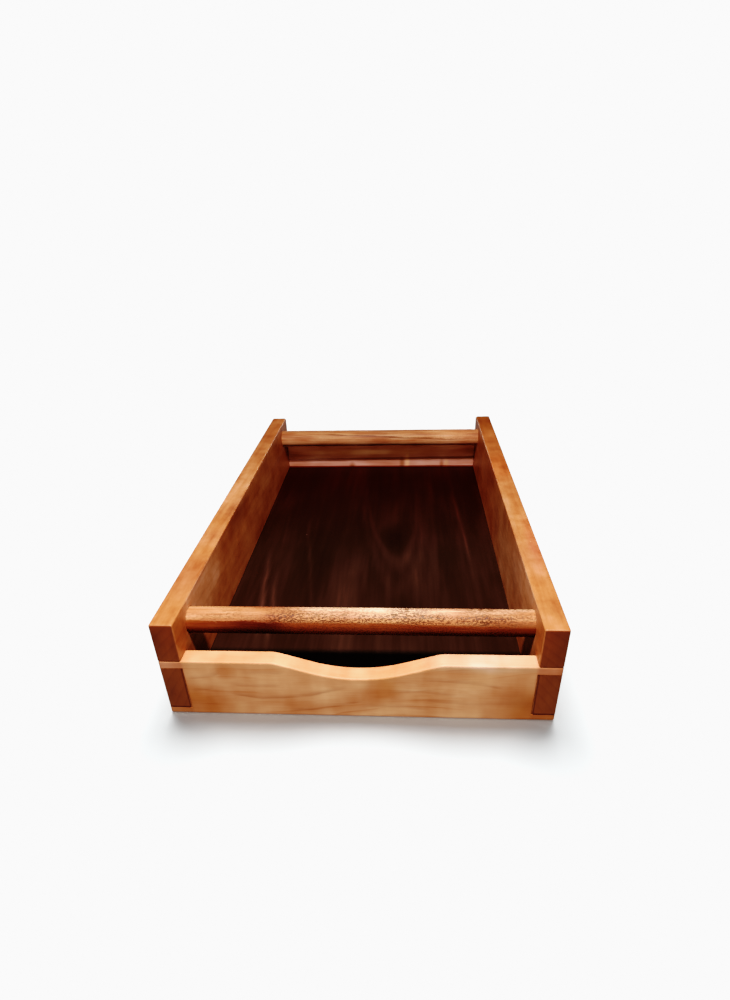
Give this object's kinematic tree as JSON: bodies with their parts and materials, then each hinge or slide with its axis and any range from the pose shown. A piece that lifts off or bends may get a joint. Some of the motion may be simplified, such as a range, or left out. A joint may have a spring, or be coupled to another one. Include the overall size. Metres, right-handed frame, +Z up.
{
  "type": "under desk drawer",
  "caption": "Open wooden tray drawer with tall sides, a low scooped front, a low back, a dark glossy panel for a bottom and round cross bars near the top of the sides.",
  "frame": {"origin": "middle of the underside, on the surface the drawer stands on", "axes": "+X across the drawer to its right side, +Y from its front to its back, +Z up"},
  "size_m": [0.32, 0.512, 0.093],
  "materials": {
    "side_wood": "satin oiled, orange brown",
    "end_wood": "satin oiled, pale tan",
    "panel_wood": "gloss, very dark red brown",
    "dowel_wood": "satin oiled, open pores"
  },
  "bodies": {
    "root": {"left_side": "side_wood", "right_side": "side_wood", "front_board": "end_wood", "rear_board": "end_wood", "bottom_panel": "panel_wood", "front_dowel": "dowel_wood", "rear_dowel": "dowel_wood"}
  },
  "joints": []
}
